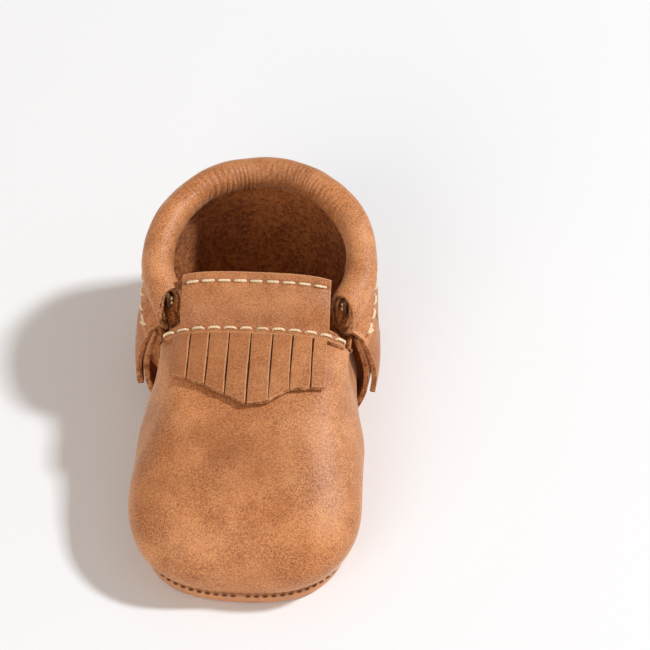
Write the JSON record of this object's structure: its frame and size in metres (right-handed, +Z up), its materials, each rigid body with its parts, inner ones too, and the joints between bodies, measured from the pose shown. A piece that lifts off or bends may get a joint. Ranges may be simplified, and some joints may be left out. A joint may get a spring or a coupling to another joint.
{
  "type": "moccasin",
  "caption": "Soft leather baby moccasin with a gathered elastic collar, a short tongue and cut leather fringes over the instep and round the heel.",
  "frame": {"origin": "on the floor under the middle of the shoe's overall box", "axes": "+Z up from the floor, +Y from the toe to the heel, +X across the shoe"},
  "size_m": [0.0712, 0.1283, 0.0528],
  "materials": {
    "tan_leather": "waxed tan leather with fine grain, paler where it is rubbed",
    "sole_leather": "soft tan sole leather, matte",
    "cream_thread": "twisted cream thread",
    "brown_thread": "dark brown thread",
    "elastic": "woven elastic tape"
  },
  "bodies": {
    "root": {"outsole": "sole_leather", "vamp": "tan_leather", "heel_panel": "tan_leather", "heel_collar": "tan_leather", "collar_elastic": "elastic", "fringe_yoke": "tan_leather", "heel_fringe_yoke": "tan_leather", "fringe_row_stitching": "cream_thread", "collar_row_stitching": "cream_thread", "sole_stitching": "brown_thread", "elastic_tacks": "cream_thread"},
    "tongue": {"tongue_tab": "tan_leather", "tongue_facing": "tan_leather", "tongue_elastic": "elastic", "tongue_row_stitching": "cream_thread"},
    "front_strip_1": {"front_fringe_strip_1": "tan_leather"},
    "front_strip_2": {"front_fringe_strip_2": "tan_leather"},
    "front_strip_3": {"front_fringe_strip_3": "tan_leather"},
    "front_strip_4": {"front_fringe_strip_4": "tan_leather"},
    "front_strip_5": {"front_fringe_strip_5": "tan_leather"},
    "front_strip_6": {"front_fringe_strip_6": "tan_leather"},
    "front_strip_7": {"front_fringe_strip_7": "tan_leather"},
    "front_strip_8": {"front_fringe_strip_8": "tan_leather"},
    "heel_strip_1": {"heel_fringe_strip_1": "tan_leather"},
    "heel_strip_2": {"heel_fringe_strip_2": "tan_leather"},
    "heel_strip_3": {"heel_fringe_strip_3": "tan_leather"},
    "heel_strip_4": {"heel_fringe_strip_4": "tan_leather"},
    "heel_strip_5": {"heel_fringe_strip_5": "tan_leather"},
    "heel_strip_6": {"heel_fringe_strip_6": "tan_leather"},
    "heel_strip_7": {"heel_fringe_strip_7": "tan_leather"},
    "heel_strip_8": {"heel_fringe_strip_8": "tan_leather"},
    "heel_strip_9": {"heel_fringe_strip_9": "tan_leather"},
    "heel_strip_10": {"heel_fringe_strip_10": "tan_leather"},
    "heel_strip_11": {"heel_fringe_strip_11": "tan_leather"},
    "heel_strip_12": {"heel_fringe_strip_12": "tan_leather"},
    "heel_strip_13": {"heel_fringe_strip_13": "tan_leather"},
    "heel_strip_14": {"heel_fringe_strip_14": "tan_leather"}
  },
  "joints": [
    {"name": "tongue_fold", "type": "hinge", "parent": "root", "child": "tongue", "pos_m": [0, 0.0055, 0.0402], "axis": [1, 0, 0], "range_deg": [-6, 40], "stiffness_Nm_per_rad": 0.02},
    {"name": "front_strip_1_lift", "type": "hinge", "parent": "root", "child": "front_strip_1", "pos_m": [-0.02073, 0.00227, 0.03873], "axis": [-0.9512, 0, -0.3085], "range_deg": [0, 70], "stiffness_Nm_per_rad": 0.002},
    {"name": "front_strip_2_lift", "type": "hinge", "parent": "root", "child": "front_strip_2", "pos_m": [-0.01528, 0.00222, 0.03993], "axis": [-0.9906, 0, -0.1367], "range_deg": [0, 70], "stiffness_Nm_per_rad": 0.002},
    {"name": "front_strip_3_lift", "type": "hinge", "parent": "root", "child": "front_strip_3", "pos_m": [-0.00969, 0.00218, 0.04041], "axis": [-0.999, 0, -0.0446], "range_deg": [0, 70], "stiffness_Nm_per_rad": 0.002},
    {"name": "front_strip_4_lift", "type": "hinge", "parent": "root", "child": "front_strip_4", "pos_m": [-0.00376, 0.00217, 0.04054], "axis": [-1, 0, -0.0047], "range_deg": [0, 70], "stiffness_Nm_per_rad": 0.002},
    {"name": "front_strip_5_lift", "type": "hinge", "parent": "root", "child": "front_strip_5", "pos_m": [0.00235, 0.00217, 0.04054], "axis": [-1, 0, 0.0016], "range_deg": [0, 70], "stiffness_Nm_per_rad": 0.002},
    {"name": "front_strip_6_lift", "type": "hinge", "parent": "root", "child": "front_strip_6", "pos_m": [0.00826, 0.00218, 0.04047], "axis": [-0.9995, 0, 0.0305], "range_deg": [0, 70], "stiffness_Nm_per_rad": 0.002},
    {"name": "front_strip_7_lift", "type": "hinge", "parent": "root", "child": "front_strip_7", "pos_m": [0.01402, 0.00221, 0.04009], "axis": [-0.9939, 0, 0.1101], "range_deg": [0, 70], "stiffness_Nm_per_rad": 0.002},
    {"name": "front_strip_8_lift", "type": "hinge", "parent": "root", "child": "front_strip_8", "pos_m": [0.019, 0.00226, 0.03923], "axis": [-0.9701, 0, 0.2428], "range_deg": [0, 70], "stiffness_Nm_per_rad": 0.002},
    {"name": "heel_strip_1_lift", "type": "hinge", "parent": "root", "child": "heel_strip_1", "pos_m": [0.03386, 0.01241, 0.03231], "axis": [-0.1941, -0.8933, -0.4055], "range_deg": [0, 60], "stiffness_Nm_per_rad": 0.002},
    {"name": "heel_strip_2_lift", "type": "hinge", "parent": "root", "child": "heel_strip_2", "pos_m": [0.03406, 0.02254, 0.03508], "axis": [0.0132, -0.9737, -0.2275], "range_deg": [0, 60], "stiffness_Nm_per_rad": 0.002},
    {"name": "heel_strip_3_lift", "type": "hinge", "parent": "root", "child": "heel_strip_3", "pos_m": [0.03356, 0.03309, 0.03674], "axis": [0.1653, -0.9733, -0.1595], "range_deg": [0, 60], "stiffness_Nm_per_rad": 0.002},
    {"name": "heel_strip_4_lift", "type": "hinge", "parent": "root", "child": "heel_strip_4", "pos_m": [0.03037, 0.04339, 0.0382], "axis": [0.4205, -0.8985, -0.1262], "range_deg": [0, 60], "stiffness_Nm_per_rad": 0.002},
    {"name": "heel_strip_5_lift", "type": "hinge", "parent": "root", "child": "heel_strip_5", "pos_m": [0.02441, 0.05245, 0.03943], "axis": [0.664, -0.742, -0.0927], "range_deg": [0, 60], "stiffness_Nm_per_rad": 0.002},
    {"name": "heel_strip_6_lift", "type": "hinge", "parent": "root", "child": "heel_strip_6", "pos_m": [0.01593, 0.05936, 0.04033], "axis": [0.8679, -0.4936, -0.0564], "range_deg": [0, 60], "stiffness_Nm_per_rad": 0.002},
    {"name": "heel_strip_7_lift", "type": "hinge", "parent": "root", "child": "heel_strip_7", "pos_m": [0.00544, 0.06306, 0.04073], "axis": [0.9862, -0.1641, -0.0195], "range_deg": [0, 60], "stiffness_Nm_per_rad": 0.002},
    {"name": "heel_strip_8_lift", "type": "hinge", "parent": "root", "child": "heel_strip_8", "pos_m": [-0.00544, 0.06306, 0.04073], "axis": [0.9862, 0.1641, 0.0195], "range_deg": [0, 60], "stiffness_Nm_per_rad": 0.002},
    {"name": "heel_strip_9_lift", "type": "hinge", "parent": "root", "child": "heel_strip_9", "pos_m": [-0.01593, 0.05936, 0.04033], "axis": [0.8679, 0.4936, 0.0564], "range_deg": [0, 60], "stiffness_Nm_per_rad": 0.002},
    {"name": "heel_strip_10_lift", "type": "hinge", "parent": "root", "child": "heel_strip_10", "pos_m": [-0.02441, 0.05245, 0.03943], "axis": [0.664, 0.742, 0.0927], "range_deg": [0, 60], "stiffness_Nm_per_rad": 0.002},
    {"name": "heel_strip_11_lift", "type": "hinge", "parent": "root", "child": "heel_strip_11", "pos_m": [-0.03037, 0.04339, 0.0382], "axis": [0.4205, 0.8985, 0.1262], "range_deg": [0, 60], "stiffness_Nm_per_rad": 0.002},
    {"name": "heel_strip_12_lift", "type": "hinge", "parent": "root", "child": "heel_strip_12", "pos_m": [-0.03356, 0.03309, 0.03674], "axis": [0.1653, 0.9733, 0.1595], "range_deg": [0, 60], "stiffness_Nm_per_rad": 0.002},
    {"name": "heel_strip_13_lift", "type": "hinge", "parent": "root", "child": "heel_strip_13", "pos_m": [-0.03406, 0.02254, 0.03508], "axis": [0.0132, 0.9737, 0.2275], "range_deg": [0, 60], "stiffness_Nm_per_rad": 0.002},
    {"name": "heel_strip_14_lift", "type": "hinge", "parent": "root", "child": "heel_strip_14", "pos_m": [-0.03386, 0.01241, 0.03231], "axis": [-0.1941, 0.8933, 0.4055], "range_deg": [0, 60], "stiffness_Nm_per_rad": 0.002}
  ]
}
